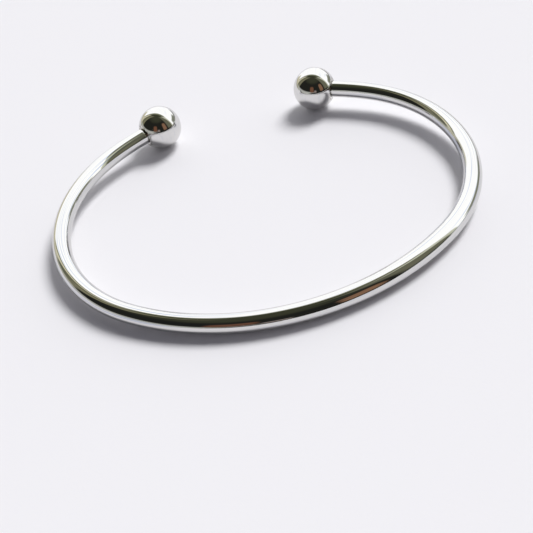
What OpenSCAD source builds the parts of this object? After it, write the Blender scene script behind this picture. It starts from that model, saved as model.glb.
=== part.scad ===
// Open torque bangle: one round wire bent into an oval hoop, with a ball on each end.
// It is shown lying as it rests by itself: both balls and the front of the wire touch the surface.
// X runs across the bangle, its opening faces +Y, and the surface is at Z = 0.

/* [Hoop] */
// Width of the hoop, from outside to outside
hoop_w = 72; // [62:1:90]
// Depth of the whole oval that the wire follows, from outside to outside
hoop_depth = 60; // [50:1:70]
// Diameter of the round wire
wire_d = 3; // [2.4:0.1:4]

/* [Ball ends] */
// Diameter of each ball
ball_d = 8; // [6.5:0.25:10]
// Open gap between the two balls
gap_w = 22.5; // [14:0.5:30]
// Diameter of the flat land on each ball, which the wire's end meets
land_d = 3.9; // [3.3:0.1:4.8]

/* [Joint inside the balls] */
// Diameter of the post turned on each end of the wire
post_d = 1.8; // [1.2:0.1:2.2]
// Length of each post, from the wire's shoulder to its tip
post_l = 4; // [2:0.25:5]
// Gap all round between a post and its hole
post_clearance = 0.05; // [0.03:0.01:0.15]
// Gap between the wire's shoulder and the land
shoulder_gap = 0.03; // [0.02:0.01:0.1]
// Room left in the hole past the post's tip
tip_room = 0.4; // [0.1:0.1:0.6]

/* [Hidden] */
$fn = 96;

wire_r = wire_d / 2;
ball_r = ball_d / 2;

// The wire's middle line is the classic oval of four bows, drawn on 3-4-5 triangles.
// A bow's centre lies 3 or 4 steps from the middle, and the wide bows are 5 steps larger.
half_w = (hoop_w - wire_d) / 2;
half_depth = (hoop_depth - wire_d) / 2;
step = (half_w - half_depth) / 2;
side_x = 3 * step;
side_r = half_w - side_x;
wide_y = 4 * step;
wide_r = side_r + 5 * step;
// Directions from a bow's centre to the seams where it runs into the next bow
seam_front = [3, -4];
seam_back = [3, 4];

// Each end of the wire stops square at its ball's land, with the ball's centre straight ahead.
land_h = sqrt(pow(ball_r, 2) - pow(land_d / 2, 2));
reach = land_h + shoulder_gap;
ball_x = (gap_w + ball_d) / 2;
// Angle from the middle of the opening to the wire's end, about the back bow's centre
end_angle = asin(ball_x / norm([wide_r, reach])) + atan2(reach, wide_r);
ball_y = wide_r * cos(end_angle) + reach * sin(end_angle) - wide_y;

// The balls are thicker than the wire, so the hoop lies at this slight slope.
slope = asin((ball_r - wire_r) / (half_depth + ball_y));
lift = wire_r + half_depth * sin(slope);
// Middle of the whole bangle, between its front and the backs of the balls
mid_y = ((ball_y - half_depth) * cos(slope) + ball_r - wire_r) / 2;

// How far a cut or a post's root runs past the face that it starts from
overrun = 0.6;

// Sets what is drawn in the hoop's own plane down on the surface.
module at_rest() {
    translate([0, -mid_y, lift])
        rotate([slope, 0, 0])
            children();
}

// Places what is drawn along +Z at the right-hand end of the wire, pointing into the ball.
module at_wire_end() {
    translate([0, -wide_y, 0])
        rotate([0, 0, -end_angle])
            translate([0, wide_r, 0])
                rotate([0, -90, 0])
                    children();
}

// One bow of wire: the part of a full ring that lies between two directions from its centre.
module bow(centre, radius, from, to) {
    translate([centre[0], centre[1], 0])
        intersection() {
            rotate_extrude()
                translate([radius, 0])
                    circle(d = wire_d);
            linear_extrude(height = 2 * wire_d, center = true)
                polygon([[0, 0], radius * from, radius * to]);
        }
}

// The right-hand half of the hoop behind the front bow, with the post on its end.
module hoop_half() {
    bow([side_x, 0], side_r, seam_front, seam_back);
    bow([0, -wide_y], wide_r, seam_back, 4 * [sin(end_angle), cos(end_angle)]);
    at_wire_end()
        translate([0, 0, -overrun])
            cylinder(d = post_d, h = post_l + overrun);
}

module hoop_wire() {
    color("silver")
        at_rest() {
            bow([0, wide_y], wide_r, [-seam_front[0], seam_front[1]], seam_front);
            hoop_half();
            mirror([1, 0, 0])
                hoop_half();
        }
}

// A drilled ball with a flat land, at the right-hand end of the wire.
module drilled_ball() {
    at_wire_end()
        difference() {
            translate([0, 0, reach])
                sphere(d = ball_d);
            translate([0, 0, shoulder_gap - ball_d])
                cylinder(d = 2 * ball_d, h = ball_d);
            translate([0, 0, shoulder_gap - overrun])
                cylinder(d = post_d + 2 * post_clearance, h = post_l + tip_room + overrun - shoulder_gap);
        }
}

module ball_right() {
    color("gainsboro")
        at_rest()
            drilled_ball();
}

module ball_left() {
    color("gainsboro")
        at_rest()
            mirror([1, 0, 0])
                drilled_ball();
}

hoop_wire();
ball_left();
ball_right();
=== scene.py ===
# Looks of an open torque bangle in polished silver: one round wire with a drilled ball on each end.
# Every shape is built in metres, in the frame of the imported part. The bangle lies on Z = 0.
import math
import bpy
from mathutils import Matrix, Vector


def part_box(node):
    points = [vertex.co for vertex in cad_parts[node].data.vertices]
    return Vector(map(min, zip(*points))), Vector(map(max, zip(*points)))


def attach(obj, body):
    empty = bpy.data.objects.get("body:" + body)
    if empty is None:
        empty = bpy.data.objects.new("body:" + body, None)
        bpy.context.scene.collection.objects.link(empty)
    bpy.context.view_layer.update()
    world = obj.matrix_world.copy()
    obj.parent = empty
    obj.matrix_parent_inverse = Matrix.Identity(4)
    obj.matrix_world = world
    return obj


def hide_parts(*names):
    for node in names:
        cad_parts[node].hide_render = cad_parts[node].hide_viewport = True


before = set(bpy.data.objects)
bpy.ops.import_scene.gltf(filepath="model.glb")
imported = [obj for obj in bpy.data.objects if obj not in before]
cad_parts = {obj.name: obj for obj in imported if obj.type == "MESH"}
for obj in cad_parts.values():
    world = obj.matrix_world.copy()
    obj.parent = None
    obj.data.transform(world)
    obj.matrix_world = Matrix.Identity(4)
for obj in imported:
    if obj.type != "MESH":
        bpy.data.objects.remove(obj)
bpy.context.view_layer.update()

from types import SimpleNamespace

import bmesh
import bpy
from bpy.props import FloatProperty, FloatVectorProperty, IntProperty, PointerProperty
from mathutils import Matrix, Vector

bl_info = {
    "name": "Torque Bangle",
    "version": (1, 0, 0),
    "blender": (4, 5, 0),
    "location": "View3D > Sidebar > Bangle",
    "description": "Builds a polished silver wire bangle with ball ends, and the studio round it",
    "category": "Add Mesh",
}

MM = 0.001
MERGE = 0.001 * MM  # points closer than this are one point
PLACE_TOLERANCE = 0.05 * MM  # how far a piece may be off its solid
SHARP = math.radians(30)  # faces that meet at more than this keep a crisp edge

# A Mix node's sockets share their names, so they are called by number
FACTOR = 0
FLOAT_A, FLOAT_B, MIXED_FLOAT = 2, 3, 0
COLOUR_A, COLOUR_B, MIXED_COLOUR = 6, 7, 2

# What every colour that a user can change has in common
COLOUR = {"size": 4, "subtype": "COLOR", "min": 0.0, "max": 1.0}


def linear(hex_colour, strength=1.0):
    """An sRGB hex colour as linear RGBA, times strength."""
    values = [int(hex_colour[i:i + 2], 16) / 255 for i in (0, 2, 4)]
    values = [v / 12.92 if v <= 0.04045 else ((v + 0.055) / 1.055) ** 2.4 for v in values]
    return [strength * v for v in values] + [1.0]


class BangleSizes(bpy.types.PropertyGroup):
    """Sizes of the wire and of its ball ends."""

    hoop_w: FloatProperty(
        name="Hoop width", description="Width of the hoop, from outside to outside",
        default=72 * MM, unit="LENGTH")
    hoop_depth: FloatProperty(
        name="Hoop depth", description="Depth of the whole oval that the wire follows",
        default=60 * MM, unit="LENGTH")
    wire_d: FloatProperty(
        name="Wire", description="Diameter of the round wire", default=3 * MM, unit="LENGTH")
    ball_d: FloatProperty(
        name="Ball", description="Diameter of each ball", default=8 * MM, unit="LENGTH")
    gap_w: FloatProperty(
        name="Gap", description="Open gap between the two balls", default=22.5 * MM, unit="LENGTH")
    land_d: FloatProperty(
        name="Land", description="Diameter of the flat land that the wire's end meets",
        default=3.9 * MM, unit="LENGTH")
    post_d: FloatProperty(
        name="Post", description="Diameter of the post inside each ball",
        default=1.8 * MM, unit="LENGTH")
    post_l: FloatProperty(
        name="Post length", description="Length of the post from the wire's shoulder",
        default=4 * MM, unit="LENGTH")
    post_clearance: FloatProperty(
        name="Post clearance", description="Gap all round between a post and its hole",
        default=0.05 * MM, unit="LENGTH")
    shoulder_gap: FloatProperty(
        name="Shoulder gap", description="Gap between the wire's shoulder and the land",
        default=0.03 * MM, unit="LENGTH")
    tip_room: FloatProperty(
        name="Tip room", description="Room left in the hole past the post's tip",
        default=0.4 * MM, unit="LENGTH")
    edge_r: FloatProperty(
        name="Softened edge", description="How far polishing has rounded the turned edges",
        default=0.06 * MM, unit="LENGTH")


class BangleMesh(bpy.types.PropertyGroup):
    """How finely the round shapes are divided."""

    sides: IntProperty(
        name="Sides", description="Sides round the wire and the balls", default=96)
    ring_step: FloatProperty(
        name="Ring step", description="Distance between two rings along the wire",
        default=0.5 * MM, unit="LENGTH")
    ball_rings: IntProperty(
        name="Ball rings", description="Rings from a ball's land to its far pole", default=56)


class BangleSilver(bpy.types.PropertyGroup):
    """Colour and polish of the silver."""

    bright: FloatVectorProperty(
        name="Silver", description="Colour of freshly polished silver",
        default=linear("F0F0EF"), **COLOUR)
    drawn: FloatVectorProperty(
        name="Drawn lines", description="Colour of the silver in its fine lines",
        default=linear("C6CEDE"), **COLOUR)
    joint: FloatVectorProperty(
        name="Joint", description="Polish residue and tarnish at the joint",
        default=linear("8A8474"), **COLOUR)
    polish: FloatProperty(
        name="Polish", description="Roughness where the polish is best",
        default=0.015, subtype="FACTOR")
    haze: FloatProperty(
        name="Haze", description="Roughness where the polish is hazy",
        default=0.05, subtype="FACTOR")
    joint_haze: FloatProperty(
        name="Joint haze", description="Roughness of the residue at the joint",
        default=0.35, subtype="FACTOR")


class BangleStudio(bpy.types.PropertyGroup):
    """Floor, light and camera."""

    floor: FloatVectorProperty(
        name="Floor", description="Colour of the paper floor", default=linear("EBEAED"), **COLOUR)
    # Painted shade: a darker colour that the paper has only where the silver mirrors it, for shade on the
    # floor in front of the bangle
    mirrored_floor_shade: FloatVectorProperty(
        name="Mirrored floor", description="Colour of the paper floor as the silver mirrors it",
        default=linear("D8D6D8"), **COLOUR)
    floor_r: FloatProperty(
        name="Floor radius", description="Radius of the floor", default=3.0, unit="LENGTH")
    fill: FloatVectorProperty(
        name="Fill", description="Colour of the soft fill light", default=linear("E0E0F0"), **COLOUR)
    fill_strength: FloatProperty(
        name="Fill strength", description="Strength of the soft fill light", default=0.18)
    window_strength: FloatProperty(
        name="Window strength",
        description="Strength of the light that the window throws on the floor", default=0.9)
    window_mirrored: FloatProperty(
        name="Mirrored window", description="Strength of the window as the silver mirrors it",
        default=1.13)
    key_strength: FloatProperty(
        name="Key strength", description="Strength of the light that draws the soft shadow",
        default=2.9)
    key_size: FloatProperty(
        name="Key size", description="How wide the key light looks",
        default=math.radians(24), unit="ROTATION")
    key_turn: FloatProperty(
        name="Key azimuth",
        description="Where the key light stands, from straight behind to the right",
        default=math.radians(54), unit="ROTATION")
    key_rise: FloatProperty(
        name="Key elevation", description="How high the key light stands over the floor",
        default=math.radians(50), unit="ROTATION")
    image_w: IntProperty(
        name="Image width", description="Width of the image", default=533, subtype="PIXEL")
    focal_px: FloatProperty(
        name="Focal length", description="Focal length of the camera, in pixels", default=750.0)


def add_node(tree, kind, settings=None, inputs=None):
    """Adds a node of that kind with its settings, and sets or links each input that is named."""
    node = tree.nodes.new(kind)
    for name, value in (settings or {}).items():
        setattr(node, name, value)
    for name, value in (inputs or {}).items():
        if isinstance(value, bpy.types.NodeSocket):
            tree.links.new(value, node.inputs[name])
        else:
            node.inputs[name].default_value = value
    return node


def oval(sizes):
    """The hoop's four bows on 3-4-5 triangles, its ends, and how it lies, from the driving sizes."""
    o = SimpleNamespace(wire_r=sizes.wire_d / 2, ball_r=sizes.ball_d / 2)
    half_w = (sizes.hoop_w - sizes.wire_d) / 2
    o.half_depth = (sizes.hoop_depth - sizes.wire_d) / 2
    step = (half_w - o.half_depth) / 2
    o.side_x = 3 * step
    o.wide_y = 4 * step
    o.side_r = half_w - o.side_x
    o.wide_r = o.side_r + 5 * step
    o.seam = math.atan2(3, 4)
    land_h = math.sqrt(o.ball_r ** 2 - (sizes.land_d / 2) ** 2)
    o.reach = land_h + sizes.shoulder_gap
    ball_x = (sizes.gap_w + sizes.ball_d) / 2
    o.end_angle = math.asin(ball_x / math.hypot(o.wide_r, o.reach)) + math.atan2(o.reach, o.wide_r)
    ball_y = o.wide_r * math.cos(o.end_angle) + o.reach * math.sin(o.end_angle) - o.wide_y
    side_length = o.side_r * (math.pi - 2 * o.seam)
    o.wire_length = 2 * (side_length + o.wide_r * (2 * o.seam - o.end_angle))
    slope = math.asin((o.ball_r - o.wire_r) / (o.half_depth + ball_y))
    lift = o.wire_r + o.half_depth * math.sin(slope)
    mid_y = ((ball_y - o.half_depth) * math.cos(slope) + o.ball_r - o.wire_r) / 2
    o.at_rest = Matrix.Translation((0, -mid_y, lift)) @ Matrix.Rotation(slope, 4, "X")
    o.at_wire_end = (
        Matrix.Translation((0, -o.wide_y, 0)) @ Matrix.Rotation(-o.end_angle, 4, "Z")
        @ Matrix.Translation((0, o.wide_r, 0)) @ Matrix.Rotation(math.radians(-90), 4, "Y"))
    return o


def along_wire(o, co):
    """Where a point near the wire would be if the wire were straight: along, across and above it."""
    x, y = abs(co.x), co.y
    front = math.atan2(x, o.wide_y - y)
    back = math.atan2(x, y + o.wide_y)
    side_start = o.wide_r * o.seam
    side_turn = math.pi - 2 * o.seam
    if front <= o.seam:
        length, across = o.wide_r * front, math.hypot(x, o.wide_y - y) - o.wide_r
    elif back <= o.seam:
        length = side_start + o.side_r * side_turn + o.wide_r * (o.seam - back)
        across = math.hypot(x, y + o.wide_y) - o.wide_r
    else:
        turn = math.atan2(x - o.side_x, -y) - o.seam
        length, across = side_start + o.side_r * turn, math.hypot(x - o.side_x, y) - o.side_r
    return Vector((math.copysign(length, co.x), across, co.z))


def soften(bm, edges, radius):
    """Rounds the turned edges a little, as polishing does."""
    bmesh.ops.bevel(
        bm, geom=edges, offset=radius, segments=2, profile=0.5, affect="EDGES", material=-1)


def finish_piece(bm, name, node, material, straight, place):
    """Turns a bmesh into a piece that stands for a CAD node, and keeps its straightened coordinates."""
    bmesh.ops.recalc_face_normals(bm, faces=bm.faces)
    kept = [straight(v.co) for v in bm.verts]
    bmesh.ops.transform(bm, matrix=place, verts=bm.verts)
    if place.determinant() < 0:
        bmesh.ops.reverse_faces(bm, faces=bm.faces)
    mesh = bpy.data.meshes.new(name)
    bm.to_mesh(mesh)
    bm.free()
    attribute = mesh.attributes.new("straight", "FLOAT_VECTOR", "POINT")
    attribute.data.foreach_set("vector", [c for v in kept for c in v])
    mesh.shade_smooth()
    mesh.set_sharp_from_angle(angle=SHARP)
    mesh.materials.append(material)
    piece = bpy.data.objects.new(name, mesh)
    bpy.context.scene.collection.objects.link(piece)
    check_place(piece, node)
    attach(piece, "root")
    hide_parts(node)
    return piece


def check_place(piece, node):
    """Raises an error if the piece isn't where its CAD node is."""
    low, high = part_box(node)
    corners = [Vector(c) for c in piece.bound_box]
    for axis in range(3):
        off_low = min(c[axis] for c in corners) - low[axis]
        off_high = max(c[axis] for c in corners) - high[axis]
        if max(abs(off_low), abs(off_high)) > PLACE_TOLERANCE:
            raise RuntimeError(f"{piece.name} isn't where {node} is: axis {axis}, {off_low}, {off_high}")


# The silver's patterns are noise from 0 to 1. Each pair says where a fine line, the haze of the polish or
# a speck of residue starts to show, and where it is full.
LINE_TONES = (0.52, 0.7)
HAZE_TONES = (0.35, 0.7)
SPECK_TONES = (0.4, 0.65)

# Polish residue covers most of the silver up to the first distance from the joint, and ends at the second
RESIDUE_COVER = 0.8
RESIDUE_REACH = (0.03 * MM, 0.28 * MM)
SPECK_SIZE = 0.5 * MM


def silver(name, look, line, line_depth, line_tint, wave_length, wave_depth, joint_at):
    """Mirror-polished sterling silver. The eye sees crisp reflections that waver a little, faint blue-grey
    lines left by the making, seen where it mirrors the window, and a dull trace of residue at the joint.
    A line's size is given along the wire or the ball's axis first, and then across it both ways."""
    material = bpy.data.materials.new(name)
    material.use_nodes = True
    tree = material.node_tree
    tree.nodes.clear()
    where = add_node(tree, "ShaderNodeAttribute", {"attribute_name": "straight"}).outputs["Vector"]
    lines_at = add_node(
        tree, "ShaderNodeMapping",
        inputs={"Vector": where, "Scale": [1 / size for size in line]}).outputs["Vector"]
    lines = add_node(
        tree, "ShaderNodeTexNoise",
        inputs={"Vector": lines_at, "Scale": 1.0, "Detail": 3.0, "Roughness": 0.6}).outputs["Fac"]
    waves_at = add_node(
        tree, "ShaderNodeMapping",
        inputs={"Vector": where,
                "Scale": (1 / wave_length, 2 / wave_length, 2 / wave_length)}).outputs["Vector"]
    waves = add_node(
        tree, "ShaderNodeTexNoise",
        inputs={"Vector": waves_at, "Scale": 1.0, "Detail": 1.0, "Roughness": 0.4}).outputs["Fac"]
    waved = add_node(
        tree, "ShaderNodeBump",
        inputs={"Strength": 1.0, "Distance": wave_depth, "Height": waves}).outputs["Normal"]
    normal = add_node(
        tree, "ShaderNodeBump",
        inputs={"Strength": 1.0, "Distance": line_depth, "Height": lines,
                "Normal": waved}).outputs["Normal"]
    in_line = add_node(
        tree, "ShaderNodeMapRange", {"interpolation_type": "SMOOTHSTEP"},
        {"Value": lines, "From Min": LINE_TONES[0], "From Max": LINE_TONES[1],
         "To Max": line_tint}).outputs["Result"]
    lined = add_node(
        tree, "ShaderNodeMix", {"data_type": "RGBA"},
        {FACTOR: in_line, COLOUR_A: look.bright, COLOUR_B: look.drawn}).outputs[MIXED_COLOUR]
    residue = residue_at(tree, where, joint_at)
    tint = add_node(
        tree, "ShaderNodeMix", {"data_type": "RGBA"},
        {FACTOR: residue, COLOUR_A: lined, COLOUR_B: look.joint}).outputs[MIXED_COLOUR]
    hazy = add_node(
        tree, "ShaderNodeMapRange",
        inputs={"Value": waves, "From Min": HAZE_TONES[0], "From Max": HAZE_TONES[1],
                "To Min": look.polish, "To Max": look.haze}).outputs["Result"]
    roughness = add_node(
        tree, "ShaderNodeMix",
        inputs={FACTOR: residue, FLOAT_A: hazy, FLOAT_B: look.joint_haze}).outputs[MIXED_FLOAT]
    shader = add_node(
        tree, "ShaderNodeBsdfPrincipled",
        inputs={"Base Color": tint, "Metallic": 1.0, "Roughness": roughness, "Normal": normal})
    add_node(tree, "ShaderNodeOutputMaterial", inputs={"Surface": shader.outputs["BSDF"]})
    return material


def residue_at(tree, where, joint_at):
    """How much polish residue is left: patchy, on the last quarter of a millimetre before the joint."""
    along = add_node(tree, "ShaderNodeSeparateXYZ", inputs={0: where}).outputs["X"]
    length = add_node(tree, "ShaderNodeMath", {"operation": "ABSOLUTE"}, {0: along}).outputs[0]
    past = add_node(
        tree, "ShaderNodeMath", {"operation": "SUBTRACT"}, {0: length, 1: joint_at}).outputs[0]
    off = add_node(tree, "ShaderNodeMath", {"operation": "ABSOLUTE"}, {0: past}).outputs[0]
    near = add_node(
        tree, "ShaderNodeMapRange", {"interpolation_type": "SMOOTHSTEP"},
        {"Value": off, "From Min": RESIDUE_REACH[0], "From Max": RESIDUE_REACH[1],
         "To Min": RESIDUE_COVER, "To Max": 0.0}).outputs["Result"]
    specks = add_node(
        tree, "ShaderNodeTexNoise",
        inputs={"Vector": where, "Scale": 1 / SPECK_SIZE, "Detail": 2.0}).outputs["Fac"]
    patches = add_node(
        tree, "ShaderNodeMapRange",
        inputs={"Value": specks, "From Min": SPECK_TONES[0],
                "From Max": SPECK_TONES[1]}).outputs["Result"]
    return add_node(
        tree, "ShaderNodeMath", {"operation": "MULTIPLY"}, {0: near, 1: patches}).outputs[0]


class BANGLE_OT_wire(bpy.types.Operator):
    """Bend the round silver wire into its open oval, with a post turned on each end"""

    bl_idname = "bangle.wire"
    bl_label = "Hoop wire"

    def execute(self, context):
        sizes, detail = context.scene.bangle_sizes, context.scene.bangle_mesh
        o = oval(sizes)
        bm = bmesh.new()
        bmesh.ops.create_circle(bm, segments=detail.sides, radius=o.wire_r)
        bmesh.ops.rotate(bm, verts=bm.verts, matrix=Matrix.Rotation(math.radians(90), 3, "Y"))
        bmesh.ops.translate(bm, verts=bm.verts, vec=(0, -o.half_depth, 0))
        ring = list(bm.edges) + list(bm.verts)
        bows = (
            ((0, o.wide_y, 0), o.wide_r, o.seam),
            ((o.side_x, 0, 0), o.side_r, math.pi - 2 * o.seam),
            ((0, -o.wide_y, 0), o.wide_r, o.seam - o.end_angle),
        )
        for centre, radius, turn in bows:
            steps = math.ceil(radius * turn / detail.ring_step)
            ring = bmesh.ops.spin(
                bm, geom=ring, cent=centre, axis=(0, 0, 1), angle=turn, steps=steps,
                use_merge=False, use_duplicate=False)["geom_last"]
        self.turn_post(bm, sizes, o, [e for e in ring if isinstance(e, bmesh.types.BMEdge)])
        bmesh.ops.mirror(bm, geom=bm.verts[:] + bm.edges[:] + bm.faces[:], axis="X", merge_dist=MERGE)
        # The lines that the drawing die leaves are finer than a pixel, so they are drawn coarser to show
        silver_wire = silver(
            "Drawn silver wire, mirror polished", context.scene.bangle_silver,
            line=(30 * MM, 0.25 * MM, 0.25 * MM), line_depth=0.003 * MM, line_tint=1.0,
            wave_length=9 * MM, wave_depth=0.015 * MM, joint_at=o.wire_length / 2)
        finish_piece(
            bm, "silver_hoop_wire", "hoop_wire", silver_wire,
            lambda co: along_wire(o, co), o.at_rest)
        return {"FINISHED"}

    def turn_post(self, bm, sizes, o, rim):
        """Closes the wire's end with a square shoulder and draws the post out of it."""
        into_ball = o.at_wire_end.to_3x3() @ Vector((0, 0, 1))
        bmesh.ops.edgeloop_fill(bm, edges=rim)
        soften(bm, rim, sizes.edge_r)
        # The shoulder is the only face with that many corners
        shoulder = [max(bm.faces, key=lambda f: len(f.verts))]
        bmesh.ops.inset_region(
            bm, faces=shoulder, thickness=o.wire_r - sizes.edge_r - sizes.post_d / 2,
            use_even_offset=True)
        drawn = bmesh.ops.extrude_face_region(bm, geom=shoulder)["geom"]
        bmesh.ops.delete(bm, geom=shoulder, context="FACES_ONLY")
        tip = [v for v in drawn if isinstance(v, bmesh.types.BMVert)]
        bmesh.ops.translate(bm, verts=tip, vec=into_ball * sizes.post_l)


class BANGLE_OT_balls(bpy.types.Operator):
    """Turn the two drilled silver balls that close the wire's ends"""

    bl_idname = "bangle.balls"
    bl_label = "Ball ends"

    def execute(self, context):
        # Turning lines are finer than a pixel too, so they are drawn coarser, and fainter than the wire's
        silver_ball = silver(
            "Turned silver ball, mirror polished", context.scene.bangle_silver,
            line=(0.5 * MM, 2 * MM, 2 * MM), line_depth=0.001 * MM, line_tint=0.3,
            wave_length=5 * MM, wave_depth=0.01 * MM, joint_at=0.0)
        self.turn_ball(context, "ball_right", silver_ball, Matrix.Identity(4))
        self.turn_ball(context, "ball_left", silver_ball, Matrix.Scale(-1, 4, (1, 0, 0)))
        return {"FINISHED"}

    def turn_ball(self, context, node, material, side):
        """Spins the ball's section round the line of its hole, which is Z here. The wire ends at 0."""
        sizes, detail = context.scene.bangle_sizes, context.scene.bangle_mesh
        o = oval(sizes)
        land_r = sizes.land_d / 2
        hole_r = sizes.post_d / 2 + sizes.post_clearance
        hole_end = sizes.post_l + sizes.tip_room
        bm = bmesh.new()
        corners = (
            (0, 0, hole_end),
            (hole_r, 0, hole_end),
            (hole_r, 0, sizes.shoulder_gap),
            (land_r, 0, sizes.shoulder_gap),
        )
        section = [bm.verts.new(c) for c in corners]
        for a, b in zip(section, section[1:]):
            bm.edges.new((a, b))
        land_angle = math.asin(land_r / o.ball_r)
        bmesh.ops.spin(
            bm, geom=[section[-1]], cent=(0, 0, o.reach), axis=(0, -1, 0),
            angle=math.pi - land_angle, steps=detail.ball_rings,
            use_merge=False, use_duplicate=False)
        bmesh.ops.spin(
            bm, geom=bm.verts[:] + bm.edges[:], cent=(0, 0, 0), axis=(0, 0, 1),
            angle=2 * math.pi, steps=detail.sides, use_merge=True, use_duplicate=False)
        bmesh.ops.remove_doubles(bm, verts=bm.verts, dist=MERGE)
        turned = [
            e for e in bm.edges
            if all(abs(v.co.z - sizes.shoulder_gap) < MERGE for v in e.verts)
            and abs(e.verts[0].co.xy.length - e.verts[1].co.xy.length) < MERGE]
        soften(bm, turned, sizes.edge_r)
        finish_piece(
            bm, "silver_" + node, node, material,
            lambda co: Vector((co.z - sizes.shoulder_gap, co.x, co.y)),
            o.at_rest @ side @ o.at_wire_end)


# What the silver mirrors. A pane is flat, like a window in a wall: its name, the azimuth that it faces,
# half its width and its height as tangents from the middle, how soft its edge is, and its colour.
# A card is bent round the bangle: its name, the azimuth and elevation of its middle, half its width and
# half its height in degrees, how soft its edge is, and its colour. Each lies over the ones before it.
DARK_ROOM = "22221E"
ROOM = (
    ("card", "ceiling", 0, 105, 400, 38, 0.5, "3A3B2E"),
    ("card", "right wall", 112, 16, 18, 56, 0.3, "686756"),
    ("card", "left wall", -62.5, 16, 8, 50, 0.3, "7F7B63"),
    ("card", "curtain's edge", -55.5, 16, 4.5, 50, 0.4, "6A6954"),
    ("card", "left drape", -41.5, 10, 7, 38, 0.4, "DAD4B8"),
    ("pane", "haze over the window", 31, 3.5, 4.6, 0.12, "74765F"),
    ("card", "right drape", 98.5, 14, 6.5, 42, 0.5, "C8C9B6"),
    ("card", "low light", -105, 0, 46, 9, 0.6, "B2B2AC"),
    ("card", "warm card left", -154, 23.5, 8, 11, 0.6, "6E4C3A"),
    ("card", "warm card right", 150, 25, 7.5, 13.5, 0.6, "84644E"),
    ("card", "pale card in front", -173, 12, 5, 5, 0.5, "857974"),
    ("card", "skirting", 165, 1, 46, 5, 0.4, "262622"),
)
WINDOW = ("window", 31, 2.8, 2.7, 0.06)
SILLS = (
    ("sill on the left", -35, 8, 13, 9, 0.4, "CBC5AC"),
    ("sill on the right", 72, 11, 16, 7, 0.4, "818375"),
    ("left window frame", -42, 0, 20, 4, 0.4, "A9A68C"),
    ("far window frame", 44, 2, 16, 4, 0.5, "80827C"),
    ("right window frame", 80, 0, 20, 4, 0.4, "8E9086"),
)
CORNERS = 4  # power that rounds their corners: at 2 they would be ovals
LEAST_DEPTH = 0.02  # keeps a pane's tangents finite at its sides

# The paper's real tooth is about 0.2 mm. It is drawn coarser, so that it shows at all.
TOOTH_SIZE = 0.6 * MM
TOOTH_DEPTH = 0.02 * MM

# Where the camera stands and looks, in millimetres in the part's frame, and its turn about its own axis
CAMERA_PLACE = (-5.764, -101.192, 77.611)
CAMERA_AIM = (-2.867, -15.638, 0)
CAMERA_ROLL = math.radians(-13.09)


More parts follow.
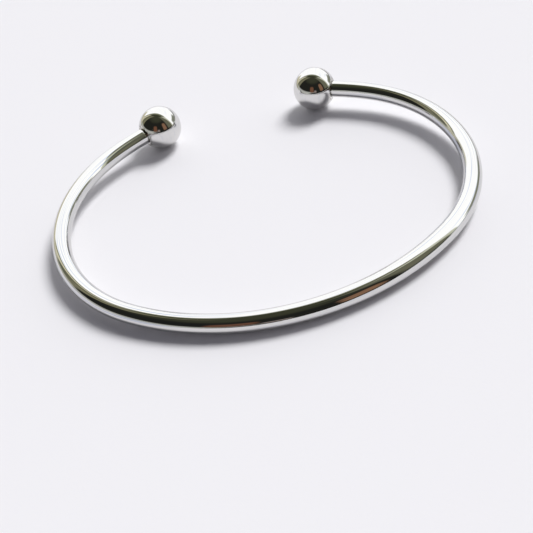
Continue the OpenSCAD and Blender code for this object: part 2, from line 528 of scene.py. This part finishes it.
class BANGLE_OT_studio(bpy.types.Operator):
    """Lay the pale floor, set the soft window light and place the camera"""

    bl_idname = "bangle.studio"
    bl_label = "Studio"

    def execute(self, context):
        studio = context.scene.bangle_studio
        self.lay_floor(context, studio)
        self.light(context, studio)
        self.place_camera(context, studio)
        context.scene.view_settings.view_transform = "Standard"
        return {"FINISHED"}

    def lay_floor(self, context, studio):
        """A round sheet of matt paper. The eye sees an even pale surface with a faint tooth. The silver
        mirrors it darker. This is painted shade for the floor in front of the bangle: the paper gets a
        darker colour only where the silver mirrors it."""
        bm = bmesh.new()
        bmesh.ops.create_circle(bm, cap_ends=True, segments=64, radius=studio.floor_r)
        mesh = bpy.data.meshes.new("paper_floor")
        bm.to_mesh(mesh)
        bm.free()
        paper = bpy.data.materials.new("Matt backdrop paper")
        paper.use_nodes = True
        tree = paper.node_tree
        tree.nodes.clear()
        at = add_node(tree, "ShaderNodeTexCoord").outputs["Object"]
        tooth = add_node(
            tree, "ShaderNodeTexNoise",
            inputs={"Vector": at, "Scale": 1 / TOOTH_SIZE, "Detail": 2.0}).outputs["Fac"]
        normal = add_node(
            tree, "ShaderNodeBump",
            inputs={"Strength": 0.3, "Distance": TOOTH_DEPTH, "Height": tooth}).outputs["Normal"]
        # Painted shade: the silver sees the paper in a darker colour, for shade on the floor in front of
        # the bangle, while the camera sees the paper even and pale
        mirrored = add_node(tree, "ShaderNodeLightPath").outputs["Is Glossy Ray"]
        colour = add_node(
            tree, "ShaderNodeMix", {"data_type": "RGBA"},
            {FACTOR: mirrored, COLOUR_A: studio.floor,
             COLOUR_B: studio.mirrored_floor_shade}).outputs[MIXED_COLOUR]
        shader = add_node(
            tree, "ShaderNodeBsdfPrincipled",
            inputs={"Base Color": colour, "Roughness": 0.9, "Normal": normal})
        add_node(tree, "ShaderNodeOutputMaterial", inputs={"Surface": shader.outputs["BSDF"]})
        mesh.materials.append(paper)
        floor = bpy.data.objects.new("paper_floor", mesh)
        context.scene.collection.objects.link(floor)

    def light(self, context, studio):
        """A dark room with one large soft window behind the bangle, given by directions in degrees:
        azimuth 0 is straight behind the bangle and grows to the right, elevation is above the floor."""
        world = bpy.data.worlds.new("Dark room with a soft window")
        context.scene.world = world
        world.use_nodes = True
        tree = world.node_tree
        tree.nodes.clear()
        direction = add_node(tree, "ShaderNodeTexCoord").outputs["Generated"]
        parts = add_node(tree, "ShaderNodeSeparateXYZ", inputs={0: direction}).outputs
        turned = add_node(
            tree, "ShaderNodeMath", {"operation": "ARCTAN2"}, {0: parts["X"], 1: parts["Y"]}).outputs[0]
        azimuth = add_node(tree, "ShaderNodeMath", {"operation": "DEGREES"}, {0: turned}).outputs[0]
        raised = add_node(tree, "ShaderNodeMath", {"operation": "ARCSINE"}, {0: parts["Z"]}).outputs[0]
        elevation = add_node(tree, "ShaderNodeMath", {"operation": "DEGREES"}, {0: raised}).outputs[0]

        def rounded(name, across, half_w, up, half_h, soft):
            """1 inside an outline with rounded corners and a soft edge, 0 outside it."""
            off = []
            for value, half in ((across, half_w), (up, half_h)):
                share = add_node(
                    tree, "ShaderNodeMath", {"operation": "DIVIDE"}, {0: value, 1: half}).outputs[0]
                square = add_node(
                    tree, "ShaderNodeMath", {"operation": "MULTIPLY"}, {0: share, 1: share}).outputs[0]
                off.append(add_node(
                    tree, "ShaderNodeMath", {"operation": "POWER"},
                    {0: square, 1: CORNERS / 2}).outputs[0])
            both = add_node(
                tree, "ShaderNodeMath", {"operation": "ADD"}, {0: off[0], 1: off[1]}).outputs[0]
            return add_node(
                tree, "ShaderNodeMapRange", {"interpolation_type": "SMOOTHSTEP", "label": name},
                {"Value": both, "From Min": (1 - soft) ** CORNERS, "From Max": (1 + soft) ** CORNERS,
                 "To Min": 1.0, "To Max": 0.0}).outputs["Result"]

        def card(name, az, el, half_w, half_h, soft):
            """A card bent round the bangle, by angles."""
            off = add_node(
                tree, "ShaderNodeMath", {"operation": "SUBTRACT"}, {0: azimuth, 1: az}).outputs[0]
            across = add_node(
                tree, "ShaderNodeMath", {"operation": "WRAP"}, {0: off, 1: 180, 2: -180}).outputs[0]
            up = add_node(
                tree, "ShaderNodeMath", {"operation": "SUBTRACT"}, {0: elevation, 1: el}).outputs[0]
            return rounded(name, across, half_w, up, half_h, soft)

        def pane(name, facing, half_w, height, soft):
            """A flat upright card, by tangents."""
            turn = math.radians(facing)
            ahead = add_node(
                tree, "ShaderNodeVectorMath", {"operation": "DOT_PRODUCT"},
                {0: direction, 1: (math.sin(turn), math.cos(turn), 0)}).outputs["Value"]
            aside = add_node(
                tree, "ShaderNodeVectorMath", {"operation": "DOT_PRODUCT"},
                {0: direction, 1: (math.cos(turn), -math.sin(turn), 0)}).outputs["Value"]
            depth = add_node(
                tree, "ShaderNodeMath", {"operation": "MAXIMUM"}, {0: ahead, 1: LEAST_DEPTH}).outputs[0]
            across = add_node(
                tree, "ShaderNodeMath", {"operation": "DIVIDE"}, {0: aside, 1: depth}).outputs[0]
            up = add_node(
                tree, "ShaderNodeMath", {"operation": "DIVIDE"}, {0: parts["Z"], 1: depth}).outputs[0]
            front = add_node(
                tree, "ShaderNodeMath", {"operation": "GREATER_THAN"}, {0: ahead, 1: 0}).outputs[0]
            outline = rounded(name, across, half_w, up, height, soft)
            return add_node(
                tree, "ShaderNodeMath", {"operation": "MULTIPLY"}, {0: outline, 1: front}).outputs[0]

        window = pane(*WINDOW)
        shapes = {"card": card, "pane": pane}
        layers = [(shapes[kind](*shape), linear(hex_colour)) for kind, *shape, hex_colour in ROOM]
        layers.append((window, linear("FFFFFF", studio.window_mirrored)))
        layers += [(card(*shape), linear(hex_colour)) for *shape, hex_colour in SILLS]
        colour = linear(DARK_ROOM)
        for mask, over in layers:
            colour = add_node(
                tree, "ShaderNodeMix", {"data_type": "RGBA"},
                {FACTOR: mask, COLOUR_A: colour, COLOUR_B: over}).outputs[MIXED_COLOUR]
        mirrored = add_node(tree, "ShaderNodeBackground", inputs={"Color": colour}).outputs[0]
        fill = [c * studio.fill_strength for c in studio.fill]
        glow = add_node(
            tree, "ShaderNodeMix", {"data_type": "RGBA"},
            {FACTOR: window, COLOUR_A: fill,
             COLOUR_B: linear("FFFFFF", studio.window_strength)}).outputs[MIXED_COLOUR]
        glowing = add_node(tree, "ShaderNodeBackground", inputs={"Color": glow}).outputs[0]
        path = add_node(tree, "ShaderNodeLightPath").outputs
        studio_light = add_node(
            tree, "ShaderNodeMixShader",
            inputs={0: path["Is Diffuse Ray"], 1: mirrored, 2: glowing}).outputs[0]
        pale = add_node(tree, "ShaderNodeBackground", inputs={"Color": studio.floor}).outputs[0]
        seen = add_node(
            tree, "ShaderNodeMixShader",
            inputs={0: path["Is Camera Ray"], 1: studio_light, 2: pale}).outputs[0]
        add_node(tree, "ShaderNodeOutputWorld", inputs={"Surface": seen})
        self.hang_key(context, studio)

    def hang_key(self, context, studio):
        """The brightest part of the window, which draws the soft shadow. The silver doesn't mirror it,
        because it mirrors the window itself."""
        data = bpy.data.lights.new("Key through the window", "SUN")
        data.energy = studio.key_strength
        data.angle = studio.key_size
        key = bpy.data.objects.new("key_light", data)
        key.visible_glossy = False
        context.scene.collection.objects.link(key)
        towards = Vector((
            math.sin(studio.key_turn) * math.cos(studio.key_rise),
            math.cos(studio.key_turn) * math.cos(studio.key_rise),
            math.sin(studio.key_rise)))
        turned = towards.to_track_quat("Z", "Y").to_matrix().to_4x4()
        key.matrix_world = Matrix.Translation(towards) @ turned

    def place_camera(self, context, studio):
        """The camera looks at the bangle from the front and above, a little turned about its own axis."""
        place = Vector(CAMERA_PLACE) * MM
        aim = Vector(CAMERA_AIM) * MM
        data = bpy.data.cameras.new("camera")
        data.sensor_width = 36.0
        data.lens = data.sensor_width * studio.focal_px / studio.image_w
        data.clip_start = 1 * MM
        data.clip_end = 10.0
        camera = bpy.data.objects.new("camera", data)
        context.scene.collection.objects.link(camera)
        turned = (aim - place).to_track_quat("-Z", "Y").to_matrix().to_4x4()
        rolled = Matrix.Rotation(CAMERA_ROLL, 4, "Z")
        camera.matrix_world = Matrix.Translation(place) @ turned @ rolled
        context.scene.camera = camera


class BANGLE_PT_panel(bpy.types.Panel):
    """Sizes, finish and studio of the bangle"""

    bl_idname = "BANGLE_PT_panel"
    bl_label = "Torque bangle"
    bl_space_type = "VIEW_3D"
    bl_region_type = "UI"
    bl_category = "Bangle"

    def draw(self, context):
        for scene_name in GROUPS:
            group = getattr(context.scene, scene_name)
            box = self.layout.box()
            for name in type(group).__annotations__:
                box.prop(group, name)
        for operator in OPERATORS:
            self.layout.operator(operator.bl_idname)


GROUPS = {
    "bangle_sizes": BangleSizes,
    "bangle_mesh": BangleMesh,
    "bangle_silver": BangleSilver,
    "bangle_studio": BangleStudio,
}
OPERATORS = (BANGLE_OT_wire, BANGLE_OT_balls, BANGLE_OT_studio)


def register():
    for name, group in GROUPS.items():
        bpy.utils.register_class(group)
        setattr(bpy.types.Scene, name, PointerProperty(type=group))
    for operator in OPERATORS:
        bpy.utils.register_class(operator)
    bpy.utils.register_class(BANGLE_PT_panel)


def unregister():
    bpy.utils.unregister_class(BANGLE_PT_panel)
    for operator in reversed(OPERATORS):
        bpy.utils.unregister_class(operator)
    for name, group in GROUPS.items():
        delattr(bpy.types.Scene, name)
        bpy.utils.unregister_class(group)


def main():
    register()
    bpy.ops.bangle.wire()
    bpy.ops.bangle.balls()
    bpy.ops.bangle.studio()


if __name__ == "__main__":
    main()
